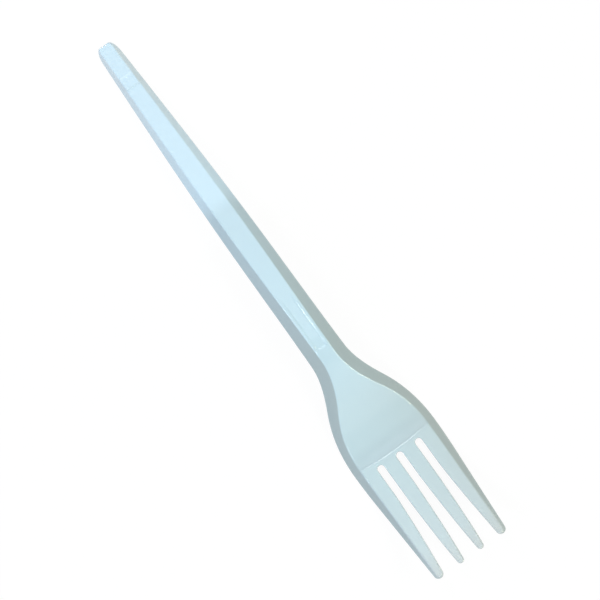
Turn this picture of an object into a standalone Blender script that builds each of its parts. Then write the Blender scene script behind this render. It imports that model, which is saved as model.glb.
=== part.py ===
"""Disposable plastic fork, injection moulded in one piece.

A flat web runs the whole length. Sloping flanges stiffen its two sides, the underside is hollow,
and three slots part the head into four tines. Half of the fork is modelled and then mirrored.
X runs from the handle's end to the tips, Z is up, and the fork stands on Z = 0.
"""

import math
from typing import NamedTuple

import bmesh
import bpy
from mathutils import Vector
from mathutils.geometry import delaunay_2d_cdt

MM = 0.001

# Lengths along the fork
HANDLE_LENGTH = 100.4 * MM       # end of the handle to the neck
SHOULDER_LENGTH = 30.2 * MM      # neck to the widest line of the head
ROOT_SETBACK = 1.2 * MM          # widest line to the roots of the slots
TINE_LENGTH = 33.2 * MM          # roots of the slots to the tips
GRIP_LENGTH = 58.4 * MM          # end of the handle to where the sides run nearly straight
TURN_LENGTH = 11.8 * MM          # neck to the steepest place of the shoulder
EASE_LENGTH = 9.2 * MM           # widest line to where the head narrows steadily

# Widths seen from above
END_FLAT_WIDTH = 2.6 * MM
END_WIDTH = 5.96 * MM
END_CORNER_LENGTH = 4.5 * MM
GRIP_WIDTH = 9.77 * MM
NECK_WIDTH = 10.63 * MM
TURN_WIDTH = 17.88 * MM
HEAD_WIDTH = 25.92 * MM
SLOT_WIDTH = 1.97 * MM
SLOT_PITCH = 6.07 * MM

# Slopes of the sides: width gained on each side per length
END_SPLAY = 0.045
GRIP_SPLAY = 0.018
NECK_SPLAY = 0.02
TURN_SPLAY = 0.495
HEAD_TAPER = -0.055

# Tines
SLOT_STRAIGHT = 8.2 * MM         # slot root to where the tines begin to narrow
INNER_TINE_STRAIGHT = 11.5 * MM  # the same on the outer side of the inner tines
INNER_TIP_OFFSET = 3.19 * MM     # centre line of the fork to the centre of an inner tip
OUTER_TIP_RADIUS = 1.35 * MM
INNER_TIP_RADIUS = 0.98 * MM
TAPER_START = 0.025
TAPER_END = 0.09

# Side view
CREST_HEIGHT = 12.0 * MM         # web's top face above the table, at the crest and at the tips
TIP_HEIGHT = 11.5 * MM
CREST_SETBACK = 8.4 * MM         # crest to the neck
REST_CUT = 0.18 * MM             # depth of the flat lands that the rim rests on
END_INCLINE = 0.11
TIP_INCLINE = 0.40

# Section
WALL = 1.1 * MM
TINE_ROOT_THICKNESS = 1.5 * MM
TINE_TIP_THICKNESS = 1.1 * MM
END_FLANGE_DEPTH = 1.5 * MM      # web's top face down to the rim
NECK_FLANGE_DEPTH = 3.5 * MM
HEAD_FLANGE_DEPTH = 2.5 * MM
END_FLANGE_WIDTH = 1.15 * MM     # sloping face seen from above
NECK_FLANGE_WIDTH = 3.05 * MM
TURN_FLANGE_WIDTH = 2.88 * MM
SHOULDER_FLANGE_WIDTH = 2.2 * MM
HEAD_FLANGE_WIDTH = 2.03 * MM
TIP_FLANGE_WIDTH = 0.7 * MM
FLANGE_SPREAD = 0.025            # how the sloping face widens along the handle
TURN_CLOSING = -0.07             # how it narrows at the turn of the shoulder
FLANGE_CLOSING = -0.03           # and along the head
RIM_LIP = 0.3 * MM               # upright edge below the sloping face
RIM_ROUND = 0.12 * MM
DRAFT = 0.2 * MM                 # lean of the upright sides, seen from above
BROW_RADIUS = 0.45 * MM          # round edge between the web and a flange
EDGE_RADIUS = 0.22 * MM          # round edge of the tines
INNER_ROUND = 0.3 * MM
LAND = 0.08 * MM                 # strips of the flat underside along the tines' edges
FULL_HOLLOW = 0.6 * MM           # a hollow this deep has its whole inner slope

# Relief on the web
STEP_HEIGHT = 0.25 * MM          # the tines' top face above the dish
STEP_BOW = 1.0 * MM              # how far the step falls back at its ends
RISER = 0.15 * MM                # run of a step, seen from above
PAD_START = 8.8 * MM             # raised pad near the handle's end
PAD_LENGTH = 4.3 * MM
PAD_RAMP = 0.7 * MM
PAD_HEIGHT = 0.2 * MM
PANEL_SETBACK = 2.6 * MM         # sunk label panel to the neck
PANEL_LENGTH = 17.1 * MM
PANEL_MARGIN = 0.5 * MM          # panel to the edge of the web
PANEL_CORNER = 0.5 * MM
PANEL_DEPTH = 0.2 * MM

# Spacing of the mesh
HANDLE_STEP = 4.5 * MM
HEAD_STEP = 2.0 * MM
FILL_STEP = 3.0 * MM
CORNER_PARTS = 7
BROW_PARTS = 3
TIP_PARTS = 10
ROOT_PARTS = 8
PANEL_CORNER_PARTS = 3
CLEAR = 0.45 * MM                # fill points keep this far from relief lines
SHARP_ANGLE = math.radians(38.0)
MERGE_DISTANCE = 0.01 * MM
INSIDE_ONLY = 1                  # the triangulation keeps only what its border holds
FILL_TOLERANCE = 1e-6

# Places along the fork
NECK_AT = HANDLE_LENGTH
TURN_AT = NECK_AT + TURN_LENGTH
WIDEST_AT = NECK_AT + SHOULDER_LENGTH
EASED_AT = WIDEST_AT + EASE_LENGTH
ROOT_AT = WIDEST_AT + ROOT_SETBACK
TIP_AT = ROOT_AT + TINE_LENGTH
CREST_AT = NECK_AT - CREST_SETBACK
PANEL_END = NECK_AT - PANEL_SETBACK
PANEL_START = PANEL_END - PANEL_LENGTH

PLASTIC_COLOUR = (0.604, 0.775, 0.838, 1.0)
PLASTIC_ROUGHNESS = 0.3


class Knot(NamedTuple):
    """A place that a smooth curve passes: distance along the fork, value and slope there."""

    at: float
    value: float
    slope: float


class Station(NamedTuple):
    """A point of the outline, with what the wall's section needs there."""

    x: float
    y: float
    inward_x: float
    inward_y: float
    band: float      # width of the sloping or drafted side, seen from above
    rim: float       # height of the lower edge

    def inset(self, distance):
        """Point of the plan that lies this far in from the outline."""
        return self.x + distance * self.inward_x, self.y + distance * self.inward_y


def on_curve(knots, at):
    """Value of the cubic curve through the knots, straight beyond its two ends."""
    if at <= knots[0].at:
        return knots[0].value + knots[0].slope * (at - knots[0].at)
    for a, b in zip(knots, knots[1:]):
        if at <= b.at:
            run = b.at - a.at
            t = (at - a.at) / run
            rise = t * t * (3 - 2 * t)
            leave = a.slope * run * t * (1 - t) ** 2
            arrive = b.slope * run * t * t * (1 - t)
            return a.value + (b.value - a.value) * rise + leave - arrive
    last = knots[-1]
    return last.value + last.slope * (at - last.at)


def blend(a, b, t):
    """Mix two values with an eased share from 0 to 1."""
    t = min(max(t, 0.0), 1.0)
    return a + (b - a) * t * t * (3 - 2 * t)


def spaced(start, end, step):
    """Places from start to end, evenly spaced and no further apart than the step."""
    parts = max(1, math.ceil(abs(end - start) / step - 1e-6))
    return [start + (end - start) * i / parts for i in range(parts + 1)]


def corner_end_angle():
    """Angle at which the handle's elliptical corner runs into its splayed side."""
    return math.atan2(END_WIDTH / 2 - END_FLAT_WIDTH / 2, END_CORNER_LENGTH * END_SPLAY)


def corner_point(angle):
    """Point of the handle's rounded end corner."""
    rise = END_WIDTH / 2 - END_FLAT_WIDTH / 2
    return END_CORNER_LENGTH * (1 - math.cos(angle)), END_FLAT_WIDTH / 2 + rise * math.sin(angle)


def tip_tangent(offset, radius, slope, side):
    """Knot where a tine's edge of a given slope meets its round tip, on one side of the tine."""
    turn = math.atan(abs(slope))
    x = TIP_AT - radius + radius * math.sin(turn)
    return Knot(x, offset + side * radius * math.cos(turn), slope)


def outer_tip_offset():
    """Centre line of the fork to the centre of an outer tip, which ends the tapering side."""
    turn = math.atan(abs(HEAD_TAPER))
    reach = TIP_AT - OUTER_TIP_RADIUS * (1 - math.sin(turn)) - (WIDEST_AT + EASED_AT) / 2
    return HEAD_WIDTH / 2 + HEAD_TAPER * reach - OUTER_TIP_RADIUS * math.cos(turn)


CORNER_END = corner_point(corner_end_angle())
OUTER_TIP_OFFSET = outer_tip_offset()
OUTER_TANGENT = tip_tangent(OUTER_TIP_OFFSET, OUTER_TIP_RADIUS, HEAD_TAPER, 1)
SIDE = (
    Knot(*CORNER_END, END_SPLAY),
    Knot(GRIP_LENGTH, GRIP_WIDTH / 2, GRIP_SPLAY),
    Knot(NECK_AT, NECK_WIDTH / 2, NECK_SPLAY),
    Knot(TURN_AT, TURN_WIDTH / 2, TURN_SPLAY),
    Knot(WIDEST_AT, HEAD_WIDTH / 2, 0.0),
    Knot(EASED_AT, HEAD_WIDTH / 2 + HEAD_TAPER * EASE_LENGTH / 2, HEAD_TAPER),
    OUTER_TANGENT,
)
WEB_TOP = (
    Knot(0.0, END_FLANGE_DEPTH - REST_CUT, END_INCLINE),
    Knot(CREST_AT, CREST_HEIGHT, 0.0),
    Knot(WIDEST_AT, HEAD_FLANGE_DEPTH - REST_CUT, 0.0),
    Knot(TIP_AT, TIP_HEIGHT, TIP_INCLINE),
)
THICKNESS = (
    Knot(WIDEST_AT - EASE_LENGTH, WALL, 0.0),
    Knot(EASED_AT, TINE_ROOT_THICKNESS, 0.0),
    Knot(TIP_AT, TINE_TIP_THICKNESS, 0.0),
)
FLANGE_DEPTH = (
    Knot(0.0, END_FLANGE_DEPTH, FLANGE_SPREAD),
    Knot(NECK_AT, NECK_FLANGE_DEPTH, 0.0),
    Knot(WIDEST_AT, HEAD_FLANGE_DEPTH, FLANGE_CLOSING),
    Knot(TIP_AT, TINE_TIP_THICKNESS, FLANGE_CLOSING),
)
FLANGE_WIDTH = (
    Knot(CORNER_END[0], END_FLANGE_WIDTH, FLANGE_SPREAD),
    Knot(NECK_AT, NECK_FLANGE_WIDTH, FLANGE_SPREAD),
    Knot(TURN_AT, TURN_FLANGE_WIDTH, TURN_CLOSING),
    Knot(WIDEST_AT - EASE_LENGTH, SHOULDER_FLANGE_WIDTH, FLANGE_CLOSING),
    Knot(WIDEST_AT, HEAD_FLANGE_WIDTH, FLANGE_CLOSING / 2),
    Knot(TIP_AT, TIP_FLANGE_WIDTH, FLANGE_CLOSING),
)


def slope_of(knots, at):
    """Slope of a curve, from two places close by."""
    near = 0.01 * MM
    return (on_curve(knots, at + near) - on_curve(knots, at - near)) / (2 * near)


def flange_rim(x):
    """Height of a flange's lower edge: never below the table, so that it ends in flat lands."""
    return max(0.0, on_curve(WEB_TOP, x) - on_curve(FLANGE_DEPTH, x))


def underside(x):
    """Height of the web's underside, which is never lower than the rim."""
    return max(on_curve(WEB_TOP, x) - on_curve(THICKNESS, x), flange_rim(x))


def step_line(shift):
    """Curved line across the head where the tines' raised face begins."""
    def line(y):
        return WIDEST_AT - STEP_BOW * (2 * y / HEAD_WIDTH) ** 2 + shift
    return line


def straight_line(x):
    """Line straight across the web."""
    return lambda y: x


RELIEF_LINES = (
    straight_line(PAD_START),
    straight_line(PAD_START + PAD_RAMP),
    straight_line(PAD_START + PAD_LENGTH - RISER),
    straight_line(PAD_START + PAD_LENGTH),
    step_line(-RISER / 2),
    step_line(RISER / 2),
)


def relief(x, y):
    """Height of the web's relief above its plain top face, away from the label panel."""
    climb = (x - PAD_START) / PAD_RAMP
    fall = (PAD_START + PAD_LENGTH - x) / RISER
    pad = PAD_HEIGHT * min(max(min(climb, fall), 0.0), 1.0)
    step = STEP_HEIGHT * min(max((x - step_line(-RISER / 2)(y)) / RISER, 0.0), 1.0)
    return pad + step


def end_stations():
    """Stations along the handle's square end and round its corner."""
    stations = [Station(0.0, y, 1.0, 0.0, DRAFT, flange_rim(0.0))
                for y in spaced(0.0, END_FLAT_WIDTH / 2, END_FLAT_WIDTH / 4)]
    last = corner_end_angle()
    for i in range(1, CORNER_PARTS + 1):
        angle = last * i / CORNER_PARTS
        x, y = corner_point(angle)
        band = DRAFT + (END_FLANGE_WIDTH - DRAFT) * math.sin(angle) / math.sin(last)
        stations.append(Station(x, y, math.cos(angle), -math.sin(angle), band, flange_rim(x)))
    return stations


def side_station(x):
    """Station on the long outer side, with its flange."""
    slope = slope_of(SIDE, x)
    size = math.hypot(1.0, slope)
    band = on_curve(FLANGE_WIDTH, x)
    return Station(x, on_curve(SIDE, x), slope / size, -1.0 / size, band, flange_rim(x))


def side_station_on(line):
    """Station on the outer side whose web corner lies on a line across the fork."""
    x = line(0.0)
    for _ in range(12):
        corner = web_corner(side_station(x))
        x += line(corner[1]) - corner[0]
    return side_station(x)


def side_stations():
    """Stations along the outer side, from the handle's corner to the outer tip."""
    first, last = CORNER_END[0], OUTER_TANGENT.at
    places = spaced(first, NECK_AT, HANDLE_STEP)
    places += spaced(NECK_AT, last, HEAD_STEP)[1:]
    marked = [side_station_on(line) for line in RELIEF_LINES]
    plain = [side_station(x) for x in places[1:]
             if all(abs(x - station.x) > CLEAR for station in marked)]
    return sorted(plain + marked, key=lambda station: station.x)


def tip_stations(offset, radius, slopes, band):
    """Stations round a tine's tip, from its outer edge to its inner edge."""
    first = math.pi / 2 - math.atan(abs(slopes[0]))
    last = -(math.pi / 2 - math.atan(abs(slopes[1])))
    stations = []
    for i in range(1, TIP_PARTS):
        share = i / TIP_PARTS
        angle = first + (last - first) * share
        x = TIP_AT - radius + radius * math.cos(angle)
        y = offset + radius * math.sin(angle)
        width = blend(band, DRAFT, share)
        rim = blend(flange_rim(x) if band > DRAFT else underside(x), underside(x), share)
        stations.append(Station(x, y, -math.cos(angle), -math.sin(angle), width, rim))
    return stations


def slot_side(offset, side, tip_offset, tip_radius, straight_length=SLOT_STRAIGHT):
    """Stations along one side of a slot, from its root to the tine's tip.

    The slot's centre line is at offset, and side is the side of the slot that the tine is on.
    """
    radius = SLOT_WIDTH / 2
    edge = offset + side * radius
    tangent = tip_tangent(tip_offset, tip_radius, side * TAPER_END, -side)
    straight = Knot(ROOT_AT + straight_length, edge, side * TAPER_START)
    stations = []
    for x in spaced(ROOT_AT + radius, straight.at, HEAD_STEP):
        stations.append(Station(x, edge, 0.0, float(side), DRAFT, underside(x)))
    curve = (straight, tangent)
    for x in spaced(straight.at, tangent.at, HEAD_STEP)[1:]:
        slope = slope_of(curve, x)
        size = math.hypot(1.0, slope)
        point = (x, on_curve(curve, x))
        inward = (-side * slope / size, side / size)
        stations.append(Station(*point, *inward, DRAFT, underside(x)))
    return stations


def root_stations(offset, first_degrees, last_degrees):
    """Stations round a slot's root, between two angles measured from the tips' direction."""
    radius = SLOT_WIDTH / 2
    parts = max(2, round(ROOT_PARTS * abs(last_degrees - first_degrees) / 180.0))
    stations = []
    for i in range(1, parts + 1):
        angle = math.radians(first_degrees + (last_degrees - first_degrees) * i / parts)
        x = ROOT_AT + radius + radius * math.cos(angle)
        y = offset + radius * math.sin(angle)
        stations.append(Station(x, y, math.cos(angle), math.sin(angle), DRAFT, underside(x)))
    return stations


def outline_stations():
    """All stations of the half outline, from the handle's end to the middle slot's root."""
    outer = (OUTER_TIP_OFFSET, OUTER_TIP_RADIUS)
    inner = (INNER_TIP_OFFSET, INNER_TIP_RADIUS)
    stations = end_stations() + side_stations()
    stations += tip_stations(*outer, (HEAD_TAPER, TAPER_END), stations[-1].band)
    stations += reversed(slot_side(SLOT_PITCH, 1, *outer))
    stations += root_stations(SLOT_PITCH, 90.0, 270.0)[:-1]
    stations += slot_side(SLOT_PITCH, -1, *inner, INNER_TINE_STRAIGHT)
    stations += tip_stations(*inner, (TAPER_END, TAPER_END), DRAFT)
    stations += reversed(slot_side(0.0, 1, *inner))
    stations += root_stations(0.0, 90.0, 180.0)
    stations[-1] = stations[-1]._replace(y=0.0, inward_y=0.0)
    return stations


def flange_share(station):
    """How far the side is a sloping flange, from 0 on an upright side to 1."""
    return min(max((station.band - DRAFT) / (END_FLANGE_WIDTH - DRAFT), 0.0), 1.0)


def brow(station):
    """Radius, slope angle and tangent length of the round edge between web and side."""
    depth = on_curve(WEB_TOP, station.x) - station.rim - RIM_LIP
    angle = math.atan2(depth, station.band)
    radius = blend(EDGE_RADIUS, BROW_RADIUS, flange_share(station))
    return radius, angle, radius * math.tan(angle / 2)


def web_corner(station):
    """Point of the plan where the flat of the web's top face ends."""
    return station.inset(station.band + brow(station)[2])


def section(station):
    """Points of the wall's section, from the web's top face over the rim to its underside."""
    radius, angle, tangent = brow(station)
    x, y = web_corner(station)
    top = on_curve(WEB_TOP, x)
    points = []
    for i in range(BROW_PARTS + 1):
        turn = angle * i / BROW_PARTS
        inset = station.band + tangent - radius * math.sin(turn)
        raised = relief(x, y) * (1 - flange_share(station) * i / BROW_PARTS)
        points.append((*station.inset(inset), top + raised - radius * (1 - math.cos(turn))))
    points.append((*station.inset(0.0), station.rim + RIM_LIP))
    points.append((*station.inset(0.0), station.rim + RIM_ROUND))
    points.append((*station.inset(RIM_ROUND), station.rim))
    return points + inner_section(station, angle)


def inner_section(station, angle):
    """The section's points under the rim: its land, the inner slope and the web's underside.

    Where the side has no hollow behind it, these points close up into strips along the edge.
    """
    hollow = underside(station.x) - station.rim
    share = hollow / FULL_HOLLOW
    wall = WALL / math.sin(angle)
    foot = wall - RIM_LIP / math.tan(angle)
    head = wall + (hollow - RIM_LIP) / math.tan(angle)
    rounding = min(INNER_ROUND, hollow / 2)
    edge = RIM_ROUND + EDGE_RADIUS
    land = station.inset(blend(edge, foot, share))
    slope = station.inset(blend(edge + LAND, head - rounding * math.cos(angle), share))
    web = station.inset(blend(edge + 2 * LAND, head + rounding, share))
    return [
        (*land, station.rim),
        (*slope, station.rim + hollow - rounding * math.sin(angle)),
        (*web, underside(web[0])),
    ]


def add_walls(mesh, stations):
    """Skin the sections of neighbouring stations and return the rings of vertices."""
    rings = [[mesh.verts.new(point) for point in section(station)] for station in stations]
    for here, ahead in zip(rings, rings[1:]):
        for i in range(len(here) - 1):
            mesh.faces.new((here[i], ahead[i], ahead[i + 1], here[i + 1]))
    return rings


def panel_side():
    """Half width of the label panel, which keeps its margin to the web's edge all along."""
    ends = (side_station(PANEL_START), side_station(PANEL_END))
    return min(web_corner(station)[1] for station in ends) - PANEL_MARGIN


def panel_outline(grow):
    """Half outline of the label panel, from the centre line round to the centre line."""
    start = PANEL_START - grow
    end = PANEL_END + grow
    side = panel_side() + grow
    radius = PANEL_CORNER + grow
    points = [(start, 0.0)]
    for centre, first in ((start + radius, 180.0), (end - radius, 90.0)):
        for i in range(PANEL_CORNER_PARTS + 1):
            angle = math.radians(first - 90.0 * i / PANEL_CORNER_PARTS)
            y = side - radius + radius * math.sin(angle)
            points.append((centre + radius * math.cos(angle), y))
    middle = len(points) // 2 + 1
    run = spaced(points[middle - 1][0], points[middle][0], HANDLE_STEP)[1:-1]
    points[middle:middle] = [(x, side) for x in run]
    points.append((end, 0.0))
    return points


def near_panel(x, y):
    """Whether a point of the web lies on the label panel's border or close to it."""
    inside = PANEL_START - CLEAR < x < PANEL_END + CLEAR
    ends = min(abs(x - PANEL_START), abs(x - PANEL_END)) < CLEAR
    return inside and (ends or abs(y - panel_side()) < CLEAR)


def web_lines(border):
    """Relief lines across the web, as lists of points from the centre line to the border."""
    lines = []
    handle_side = [point for point in border if point[0] < ROOT_AT]
    for line in RELIEF_LINES:
        corner = min(handle_side, key=lambda point: abs(point[0] - line(point[1])))
        inner = spaced(0.0, corner[1], FILL_STEP)[:-1]
        lines.append([(line(y), y) for y in inner] + [corner])
    return lines


def fill_points(border, lines):
    """Points inside the web, level with the border's points and clear of the relief."""
    points = []
    limit = ROOT_AT - FILL_STEP / 2
    for x, y in border:
        if not border[0][0] + CLEAR < x < limit:
            continue
        for inner in spaced(0.0, y, FILL_STEP)[:-1]:
            crossed = any(abs(line(inner) - x) < CLEAR for line in RELIEF_LINES)
            if not lines or not (crossed or near_panel(x, inner)):
                points.append((x, inner))
    return points


def add_web(mesh, ring, height, lines, loops):
    """Fill one face of the web inside a ring of vertices.

    height gives the face's height at a point. lines and loops are relief lines it has to follow.
    """
    border = [(vert.co.x, vert.co.y) for vert in ring]
    points = list(border)
    edges = [(i, i + 1) for i in range(len(border) - 1)]
    places = {point: i for i, point in enumerate(border)}
    for chain in lines + loops:
        for point in chain:
            if point not in places:
                places[point] = len(points)
                points.append(point)
        edges += [(places[a], places[b]) for a, b in zip(chain, chain[1:])]
    for point in fill_points(border, lines):
        if point not in places:
            places[point] = len(points)
            points.append(point)
    middle = sorted((i for i, point in enumerate(points) if point[1] == 0.0),
                    key=lambda i: points[i][0])
    edges += list(zip(middle, middle[1:]))
    flat = [Vector((x / MM, y / MM)) for x, y in points]
    found, _, faces, origins, _, _ = delaunay_2d_cdt(flat, edges, [], INSIDE_ONLY, FILL_TOLERANCE)
    verts = []
    for place, origin in zip(found, origins):
        if origin and origin[0] < len(ring):
            verts.append(ring[origin[0]])
        else:
            x, y = points[origin[0]] if origin else (place.x * MM, place.y * MM)
            verts.append(mesh.verts.new((x, y, height(x, y))))
    return [tuple(verts[i] for i in face) for face in faces]


def top_height(panels):
    """Height of the web's top face, with the label panel sunk into it."""
    def height(x, y):
        sunk = PANEL_DEPTH if (x, y) in panels or inside_panel(x, y) else 0.0
        return on_curve(WEB_TOP, x) + relief(x, y) - sunk
    return height


def inside_panel(x, y):
    """Whether a point lies well inside the label panel."""
    return PANEL_START < x < PANEL_END and y < panel_side() - RISER


def half_fork():
    """Mesh of the half fork on the +Y side, open on its plane of symmetry."""
    mesh = bmesh.new()
    rings = add_walls(mesh, outline_stations())
    top_ring = [ring[0] for ring in rings]
    bottom_ring = [ring[-1] for ring in rings]
    border = [(vert.co.x, vert.co.y) for vert in top_ring]
    floor = panel_outline(-RISER / 2)
    brim = panel_outline(RISER / 2)
    height = top_height(set(floor))
    for face in add_web(mesh, top_ring, height, web_lines(border), [floor, brim]):
        mesh.faces.new(face)
    for face in add_web(mesh, bottom_ring, lambda x, y: underside(x), [], []):
        mesh.faces.new(reversed(face))
    return mesh


def plastic():
    """Glossy milky plastic with a cold tint."""
    material = bpy.data.materials.new("milky_plastic")
    material.use_nodes = True
    shader = material.node_tree.nodes["Principled BSDF"]
    shader.inputs["Base Color"].default_value = PLASTIC_COLOUR
    shader.inputs["Roughness"].default_value = PLASTIC_ROUGHNESS
    shader.inputs["Metallic"].default_value = 0.0
    return material


def build_fork():
    """The whole fork: the half mesh, moved to the middle of its length and mirrored."""
    half = half_fork()
    bmesh.ops.translate(half, verts=half.verts, vec=(-TIP_AT / 2, 0.0, 0.0))
    data = bpy.data.meshes.new("fork")
    half.to_mesh(data)
    half.free()
    data.shade_smooth()
    data.set_sharp_from_angle(angle=SHARP_ANGLE)
    data.materials.append(plastic())
    fork = bpy.data.objects.new("fork", data)
    bpy.context.collection.objects.link(fork)
    mirror = fork.modifiers.new("other_half", "MIRROR")
    mirror.use_axis = (False, True, False)
    mirror.use_mirror_merge = True
    mirror.merge_threshold = MERGE_DISTANCE
    return fork


for old in list(bpy.data.objects):
    bpy.data.objects.remove(old, do_unlink=True)
build_fork()
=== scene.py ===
"""Looks of a disposable plastic fork, seen from straight above on a pale floor.

The fork is one moulding. Half of its skin is drawn flat, as a blank, and mirrored. Geometry Nodes
then shape it, one tree for each rule: the tines' raised face, the pad near the handle's end, the
sunk label panel, the marks of the mould's pins and, last, the arch of the side view.
X runs from the handle's end to the tips, and the fork stands on the floor at Z = 0.
"""

import logging
import math
from collections.abc import Callable, Iterable, Mapping, Sequence
from dataclasses import dataclass, fields, replace
from enum import Enum
from typing import Any, ClassVar, NamedTuple

import bmesh
import bpy
from mathutils import Euler, Matrix, Vector
from mathutils.geometry import delaunay_2d_cdt


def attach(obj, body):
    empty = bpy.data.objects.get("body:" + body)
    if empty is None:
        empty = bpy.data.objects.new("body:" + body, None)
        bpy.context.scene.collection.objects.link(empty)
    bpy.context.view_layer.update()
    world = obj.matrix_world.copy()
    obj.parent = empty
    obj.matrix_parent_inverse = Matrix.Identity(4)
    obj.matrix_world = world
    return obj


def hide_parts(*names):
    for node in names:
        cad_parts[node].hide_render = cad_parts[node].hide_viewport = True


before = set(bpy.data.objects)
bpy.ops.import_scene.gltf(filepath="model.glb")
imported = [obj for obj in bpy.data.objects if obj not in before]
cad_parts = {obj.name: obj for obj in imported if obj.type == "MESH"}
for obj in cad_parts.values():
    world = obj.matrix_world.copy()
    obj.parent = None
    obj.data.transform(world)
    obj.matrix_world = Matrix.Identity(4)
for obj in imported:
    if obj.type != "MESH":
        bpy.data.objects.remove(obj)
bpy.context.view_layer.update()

MM = 0.001
CAD_NODE = "fork"
BODY = "root"

# How finely the skin is drawn
OUTLINE_STEP = 0.62 * MM    # between two stations of the outline
FILL_STEP = 0.62 * MM       # between two points inside the web
FILL_CLEAR = 0.22 * MM      # fill points keep this far from the lines that the mesh follows
RISER_SHARES = (0.0, 0.25, 0.5, 0.75, 1.0)  # where lines follow a round rise, over its run
PANEL_CORNER_PARTS = 5
CIRCLE_PARTS = 14
SLOPE_REACH = 0.01 * MM     # a curve's slope is taken this far before and past the place
LINE_TRIES = 12             # rounds that bring a station onto a line
QUARTER_TURN = 90.0
OUTER_SIDE, BACK, INNER_SIDE = 90.0, 180.0, 270.0  # turns from the tips' direction, at a root
TIP_ROUNDING = 3.0 * MM     # a tine's edges grow rounder over this length before its tip
MERGE_DISTANCE = 0.005 * MM
SHARP_ANGLE = math.radians(50.0)
INSIDE_ONLY = 1             # the triangulation keeps only what its border holds
FILL_TOLERANCE = 1e-6
PART_TOLERANCE = 1e-6       # how far a count may pass a whole number without one more part

# Node trees and finishes
MIX_COLOURS, MIX_RESULT = (6, 7), 2  # a Mix node's colour sockets
WHITE = (1.0, 1.0, 1.0, 1.0)

log = logging.getLogger("fork")

Point2 = tuple[float, float]
Line = Callable[[float], float]
Colour = tuple[float, float, float]
Tones = tuple[tuple[float, Colour], ...]


# Smooth curves along the fork


class Knot(NamedTuple):
    """A place that a smooth curve passes, with its value and slope there."""

    at: "float | Value"
    value: "float | Value"
    slope: "float | Value"


def between(a: Knot, b: Knot, at: "float | Value") -> "float | Value":
    """Give the value of the cubic curve that joins two knots.

    Args:
        a: The knot before the place.
        b: The knot past it.
        at: The place, as a number or as a value of a node tree.

    Returns:
        The curve's value there, of the same kind.
    """
    run = b.at - a.at
    t = (at - a.at) / run
    rest = 1.0 - t
    rise = (b.value - a.value) * t * t * (3.0 - t * 2.0)
    return a.value + rise + a.slope * run * t * rest * rest - b.slope * run * t * t * rest


@dataclass(frozen=True)
class SmoothCurve:
    """A cubic curve through knots, straight beyond its two ends."""

    knots: tuple[Knot, ...]

    def value(self, at: float) -> float:
        """Give the curve's value.

        Args:
            at: The distance along the fork.

        Returns:
            The value there.
        """
        for a, b in zip(self.knots, self.knots[1:]):
            if a.at < at <= b.at:
                return between(a, b, at)
        end = self.knots[0 if at <= self.knots[0].at else -1]
        return end.value + end.slope * (at - end.at)

    def slope(self, at: float) -> float:
        """Give the curve's slope, from two places close by."""
        return (self.value(at + SLOPE_REACH) - self.value(at - SLOPE_REACH)) / (2 * SLOPE_REACH)


def eased(a: float, b: float, share: float) -> float:
    """Mix two values with an eased share.

    Args:
        a: The value at share 0.
        b: The value at share 1.
        share: The share, which is kept between 0 and 1.

    Returns:
        The mixed value.
    """
    t = min(max(share, 0.0), 1.0)
    return a + (b - a) * t * t * (3 - 2 * t)


def spaced(start: float, end: float, step: float) -> list[float]:
    """Give evenly spaced places.

    Args:
        start: The first place.
        end: The last place.
        step: The most that two neighbours may be apart.

    Returns:
        The places from start to end.
    """
    parts = max(1, math.ceil(abs(end - start) / step - PART_TOLERANCE))
    return [start + (end - start) * i / parts for i in range(parts + 1)]


# Sums on node sockets, and node trees


class Value:
    """A number socket of a node tree, so that its sums are written as Python expressions."""

    def __init__(self, sheet: "NodeSheet", socket: bpy.types.NodeSocket) -> None:
        """Wrap a socket that belongs to a sheet of nodes."""
        self.sheet = sheet
        self.socket = socket

    def math(self, operation: str, *others: "float | Value") -> "Value":
        """Add a Math node that takes this value and others, and give its result."""
        taken = dict(enumerate((self, *others)))
        return self.sheet.value("ShaderNodeMath", {"operation": operation}, taken)

    def __add__(self, other: "float | Value") -> "Value":
        """Add."""
        return self.math("ADD", other)

    __radd__ = __add__

    def __sub__(self, other: "float | Value") -> "Value":
        """Take away."""
        return self.math("SUBTRACT", other)

    def __rsub__(self, other: "float | Value") -> "Value":
        """Take this value from a number."""
        return (self * -1.0) + other

    def __mul__(self, other: "float | Value") -> "Value":
        """Multiply."""
        return self.math("MULTIPLY", other)

    __rmul__ = __mul__

    def __truediv__(self, other: "float | Value") -> "Value":
        """Divide."""
        return self.math("DIVIDE", other)

    def __abs__(self) -> "Value":
        """Give the size without its sign."""
        return self.math("ABSOLUTE")

    def lowest(self, other: "float | Value") -> "Value":
        """Give the smaller of two values."""
        return self.math("MINIMUM", other)

    def highest(self, other: "float | Value") -> "Value":
        """Give the larger of two values."""
        return self.math("MAXIMUM", other)

    def share(self) -> "Value":
        """Keep the value between 0 and 1."""
        return self.highest(0.0).lowest(1.0)

    def ease(self) -> "Value":
        """Turn a share from 0 to 1 into an eased one."""
        t = self.share()
        return t * t * (3.0 - t * 2.0)

    def above(self, other: "float | Value") -> "Value":
        """Give 1 where this value is the larger one, and else 0."""
        return self.math("GREATER_THAN", other)

    def mix(self, a: Any, b: Any) -> bpy.types.NodeSocket:
        """Mix two colours, with this value as the second one's share.

        Args:
            a: The first colour, as numbers or a socket.
            b: The second colour.

        Returns:
            The mixed colour.
        """
        ends = [(*end, 1.0) if isinstance(end, tuple) else end for end in (a, b)]
        taken = {"Factor": self, **dict(zip(MIX_COLOURS, ends))}
        return self.sheet.node("ShaderNodeMix", {"data_type": "RGBA"}, taken).outputs[MIX_RESULT]


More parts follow.
